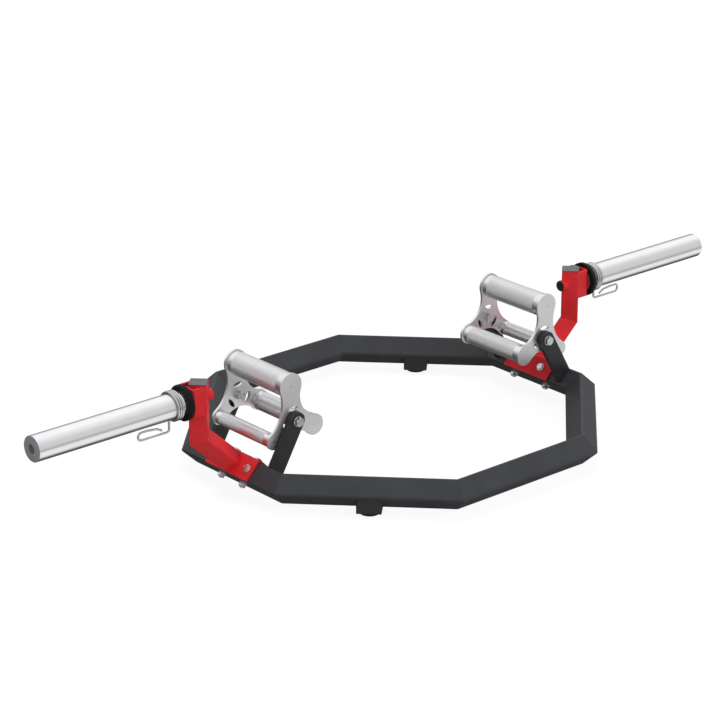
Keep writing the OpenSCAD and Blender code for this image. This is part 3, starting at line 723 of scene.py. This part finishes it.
def knurled_grip(side_name, grip_name):
    side, grip = SIDES[side_name], GRIPS[grip_name]
    name = f"{side_name}_{grip_name}_grip_knurled"
    radius = grip["d"] / 2
    around = 2 * round(math.pi * radius / KNURL_STEP)
    barrel = GRIP_LENGTH - 2 * SMOOTH_END
    ends = joined(*[grip_end_rings(radius, around, end) for end in (-1, 1)])
    host = linked(name + "_ends", shaped(name + "_ends", *ends))
    mesh = grown(name, host, KNURL_TREE, {
        "Root radius": (radius - KNURL_DEPTH) * MM,
        "Length": barrel * MM,
        "Around": around,
        "Along": 2 * round(barrel / KNURL_STEP / 2),
        "Depth": KNURL_DEPTH * MM,
        "Finish": FINISHES["knurled_chrome"],
    })
    tidy(mesh, 20)
    angle = math.radians(grip["angle"])
    middle = Vector((
        side * (HUB_X + grip["reach"] * math.cos(angle)), 0, HUB_Z + grip["reach"] * math.sin(angle),
    ))
    for vertex in mesh.vertices:
        vertex.co += middle * MM
    finished(name, mesh, f"{side_name}_handle", "knurled_chrome", f"{side_name}_{grip_name}_grip")


for side_name in SIDES:
    for grip_name in GRIPS:
        knurled_grip(side_name, grip_name)


# Spring collars: one wire, from the end of one handle through the coil to the end of the other

WIRE_D = 4.4
COIL_PITCH = 5.2
COIL_GAP = 0.3
COIL_X = 555.5
HANDLE_REACH = 49.2
HANDLE_LENGTH = 71
HANDLE_LOOP = 15
HANDLE_SPREAD = 60
LEAD = 12
COIL_TURNS = 3
COIL_TURN = 360 * COIL_TURNS + HANDLE_SPREAD - 2 * LEAD
COIL_STEPS = COIL_TURN // 6
# The wire's line is made of straight steps that cut inside its circle, so the circle is this much larger.
COIL_EASE = 0.04
COIL_R = SLEEVE_D / 2 + COIL_GAP + WIRE_D / 2 + COIL_EASE
COIL_IN_X = COIL_X - COIL_PITCH * COIL_TURN / 360
LOOP_BEND = HANDLE_LOOP / 2 - 0.1
# Corners of a handle's free end, as distances along from the coil and out from the loop's inner side.
FREE_END = ((17, 8.2), (28, 2.2), (50, -0.3))
HANDLE_RADII = (20, 60, LOOP_BEND, LOOP_BEND, 6, 5)
HANDLE_STEPS = (8, 8, 14, 14, 10, 10)
FIRST_ANGLE = -90


def round_axle(x, r, angle):
    a = math.radians(angle)
    return Vector((x, r * math.cos(a), r * math.sin(a)))


def corner_arc(before, corner, after, radius, steps):
    """Points of the arc that rounds a corner of a line."""
    u, v = (before - corner).normalized(), (after - corner).normalized()
    half = u.angle(v) / 2
    centre = corner + (u + v).normalized() * radius / math.sin(half)
    start = corner + u * radius / math.tan(half) - centre
    stop = corner + v * radius / math.tan(half) - centre
    sweep = math.pi - 2 * half
    points = []
    for k in range(steps + 1):
        from_start, to_stop = math.sin(sweep * (1 - k / steps)), math.sin(sweep * k / steps)
        points.append(centre + (from_start * start + to_stop * stop) / math.sin(sweep))
    return points


def rounded_line(corners, radii, steps):
    line = [corners[0]]
    for i in range(1, len(corners) - 1):
        line += corner_arc(corners[i - 1], corners[i], corners[i + 1], radii[i - 1], steps[i - 1])
    return line + [corners[-1]]


def handle_line(x, angle, coil_end):
    """A wire handle, from its free end to the coil's turn at x."""
    round_end, inner = COIL_X + HANDLE_LENGTH, HANDLE_REACH - HANDLE_LOOP
    places = [(COIL_X + along, inner + out) for along, out in FREE_END]
    places += [
        (round_end, inner), (round_end, HANDLE_REACH), (x, HANDLE_REACH),
        (x, COIL_R / math.cos(math.radians(LEAD))),
    ]
    corners = [round_axle(px, r, angle) for px, r in places] + [coil_end]
    return rounded_line(corners, HANDLE_RADII, HANDLE_STEPS)


def collar_line():
    coil = [
        round_axle(COIL_X - (COIL_X - COIL_IN_X) * k / COIL_STEPS, COIL_R,
                   FIRST_ANGLE + LEAD + COIL_TURN * k / COIL_STEPS)
        for k in range(COIL_STEPS + 1)
    ]
    first = handle_line(COIL_X, FIRST_ANGLE, coil[0])
    second = handle_line(COIL_IN_X, FIRST_ANGLE + HANDLE_SPREAD, coil[-1])
    return first + coil[1:-1] + second[::-1]


def spring_collar(side_name):
    side = SIDES[side_name]
    name = side_name + "_spring_collar_wire"
    line = [Vector((side * p.x, p.y, p.z + AXLE_Z)) * MM for p in collar_line()]
    path = bpy.data.meshes.new(name + "_path")
    path.from_pydata(line, [(i, i + 1) for i in range(len(line) - 1)], [])
    host = linked(name + "_host", path)
    mesh = grown(name, host, WIRE_TREE, {
        "Wire radius": WIRE_D / 2 * MM,
        "Sides": 20,
        "Finish": FINISHES["spring_wire"],
    })
    tidy(mesh, 50)
    finished(name, mesh, side_name + "_collar", "spring_wire", side_name + "_spring_collar")


for side_name in SIDES:
    spring_collar(side_name)


# Caps and plugs


def rounded_square(width, radius, height, steps=8):
    """A square's outline with rounded corners, turned corner-forward, at one height."""
    flat = width / 2 - radius
    outline = []
    for quarter in range(4):
        corner = math.radians(45 + 90 * quarter)
        cx, cy = flat * math.sqrt(2) * math.cos(corner), flat * math.sqrt(2) * math.sin(corner)
        for k in range(steps + 1):
            a = math.radians(90 * quarter + 90 * k / steps)
            x, y = cx + radius * math.cos(a), cy + radius * math.sin(a)
            outline.append(((x - y) * math.sqrt(0.5), (x + y) * math.sqrt(0.5), height))
    return outline


# Each layer of a cap: how far its outline lies inside the arm's, and its height over the arm's top.
CAP_LAYERS = (
    (3.05, -9.5), (3.05, 1.8), (0.7, 1.8), (0.5, 2.0), (0.5, 2.5),
    (0.9, 2.8), (2.6, 3.0), (3.1, 2.9), (3.5, 2.9),
)
CAP_CORNER = 3.0
# Each ring of a plug's head: how far it lies inside the head's edge, and its height.
PLUG_HEAD = (
    (0.4, 0), (0, 0.4), (0, 1.1), (0.3, 1.6), (1.0, 1.92),
    (2.0, 2.0), (3.4, 1.92), (4.2, 1.55), (5.0, 1.45),
)
PLUG_STEM = 8


def arm_caps():
    """A thin moulded cap on a neck in each arm, with a bevelled border round its top face."""
    shapes = []
    for side in SIDES.values():
        rings = [
            rounded_square(ARM_W - 2 * inset, max(CAP_CORNER - inset * 0.5, 1.0), ARM_TOP + up)
            for inset, up in CAP_LAYERS
        ]
        points = [(x + side * ARM_X, y, z) for ring in rings for x, y, z in ring]
        shapes.append((points, rings_to_faces(len(rings), len(rings[0]), "capped")))
    mesh = shaped("arm_caps_bevelled", *joined(*shapes))
    finished("arm_caps_bevelled", mesh, "frame", "grey_plastic", "arm_caps")


def boss_plugs():
    """A domed plug in the inner end of each boss, with a dished middle."""
    r = (BOSS_D - 1) / 2
    stem = [(STEM_D / 2, -PLUG_STEM), (STEM_D / 2, 0)]
    points, faces = turned(stem + [(r - inset, up) for inset, up in PLUG_HEAD], 72)
    shapes = [
        ([(side * (BOSS_X - z), y, AXLE_Z + x) for x, y, z in points], faces) for side in SIDES.values()
    ]
    mesh = shaped("boss_plugs_domed", *joined(*shapes))
    finished("boss_plugs_domed", mesh, "frame", "black_plastic", "boss_plugs")


arm_caps()
boss_plugs()


# Studio

FLOOR_SIZE = 60.0
FLOOR_DROP = 0.0004
FLOOR_GREY = 0.62
FLOOR_SHOWN_GREY = 0.15
FLOOR_GLOW = 0.9
FILL_STRENGTH = 0.5
LAMPS = {
    "front_lamp": {"place": (1.6, -4.6, 2.8), "power": 108, "size": 2.6},
    "left_lamp": {"place": (-4.6, -0.6, 2.4), "power": 40, "size": 2.4},
    "top_lamp": {"place": (0.2, 0.6, 4.2), "power": 60, "size": 3.0},
}
LAMP_AIM = Vector((0, 0, 0.1))


def grey(value):
    return (value, value, value, 1.0)


def seen_directly(tree):
    """1 for a camera, glossy or transmission ray, and 0 for one that only lights a surface."""
    path = put(tree, "ShaderNodeLightPath").outputs
    shown = calc(tree, "MAXIMUM", path["Is Camera Ray"], path["Is Glossy Ray"])
    return calc(tree, "MAXIMUM", shown, path["Is Transmission Ray"])


def studio_floor():
    """A plain pale floor, white to the camera, and hidden from metal, which sees the world's tent."""
    material = bpy.data.materials.new("pale_floor")
    material.use_nodes = True
    tree = material.node_tree
    tree.nodes.clear()
    plain = put(tree, "ShaderNodeBsdfDiffuse", {"Color": grey(FLOOR_GREY)})
    faint = put(tree, "ShaderNodeBsdfDiffuse", {"Color": grey(FLOOR_SHOWN_GREY)})
    lift = put(tree, "ShaderNodeEmission", {"Color": grey(1.0), "Strength": FLOOR_GLOW})
    lifted = put(tree, "ShaderNodeAddShader", {0: faint.outputs[0], 1: lift.outputs[0]})
    floor_shader = put(tree, "ShaderNodeMixShader", {
        0: seen_directly(tree), 1: plain.outputs[0], 2: lifted.outputs[0],
    })
    put(tree, "ShaderNodeOutputMaterial", {"Surface": floor_shader.outputs[0]})
    half = FLOOR_SIZE / 2
    mesh = bpy.data.meshes.new("floor")
    corners = [(-half, -half), (half, -half), (half, half), (-half, half)]
    mesh.from_pydata([(x, y, -FLOOR_DROP) for x, y in corners], [], [(0, 1, 2, 3)])
    mesh.materials.append(material)
    floor = linked("floor", mesh)
    floor.visible_glossy = False


def studio_world():
    """A plain fill, white to the camera; metal sees a tent graded by direction, up to 1.18 at the back."""
    world = bpy.data.worlds.new("studio")
    world.use_nodes = True
    bpy.context.scene.world = world
    tree = world.node_tree
    tree.nodes.clear()
    aim = put(tree, "ShaderNodeSeparateXYZ", {0: put(tree, "ShaderNodeTexCoord").outputs["Generated"]})
    depth, height = aim.outputs["Y"], aim.outputs["Z"]
    in_front = between(tree, depth, 0.05, -0.3)
    front_top = between(tree, height, 0.45, 0.8, 0.76, 1.0)
    back_top = between(tree, height, 0.22, 0.52, 0.42, 1.18)
    ceiling = calc(tree, "MULTIPLY_ADD", in_front, calc(tree, "SUBTRACT", front_top, back_top), back_top)
    sweep = between(tree, height, -0.27, -0.43, 0.46, 1.0)
    below = calc(tree, "MULTIPLY_ADD", in_front, calc(tree, "SUBTRACT", sweep, 0.1), 0.1)
    over_horizon = between(tree, height, -0.22, 0.04)
    glow = calc(tree, "MULTIPLY_ADD", over_horizon, calc(tree, "SUBTRACT", ceiling, below), below)
    path = put(tree, "ShaderNodeLightPath").outputs
    shown = calc(tree, "MAXIMUM", glow, path["Is Camera Ray"])
    room = put(tree, "ShaderNodeBackground", {"Color": grey(1.0), "Strength": shown})
    fill = put(tree, "ShaderNodeBackground", {"Color": grey(1.0), "Strength": FILL_STRENGTH})
    mixed = put(tree, "ShaderNodeMixShader", {
        0: seen_directly(tree), 1: fill.outputs[0], 2: room.outputs[0],
    })
    put(tree, "ShaderNodeOutputWorld", {"Surface": mixed.outputs[0]})


def soft_lamp(name, place, power, size):
    """An area lamp aimed at the bar, hidden from the camera and from metal."""
    lamp = bpy.data.lights.new(name, "AREA")
    lamp.energy = power
    lamp.size = size
    stand = bpy.data.objects.new(name, lamp)
    bpy.context.scene.collection.objects.link(stand)
    stand.location = place
    stand.rotation_euler = (LAMP_AIM - Vector(place)).to_track_quat("-Z", "Y").to_euler()
    stand.visible_camera = False
    stand.visible_glossy = False


studio_floor()
studio_world()
for lamp_name, settings in LAMPS.items():
    soft_lamp(lamp_name, **settings)

camera = bpy.data.objects.new("camera", bpy.data.cameras.new("camera"))
bpy.context.scene.collection.objects.link(camera)
camera.location = (-3.3550, -3.7812, 2.1203)
camera.rotation_euler = (math.radians(68.782), 0, math.radians(-40.868))
camera.data.lens = 136.6
camera.data.sensor_width = 36
bpy.context.scene.camera = camera
bpy.context.scene.view_settings.view_transform = "Standard"
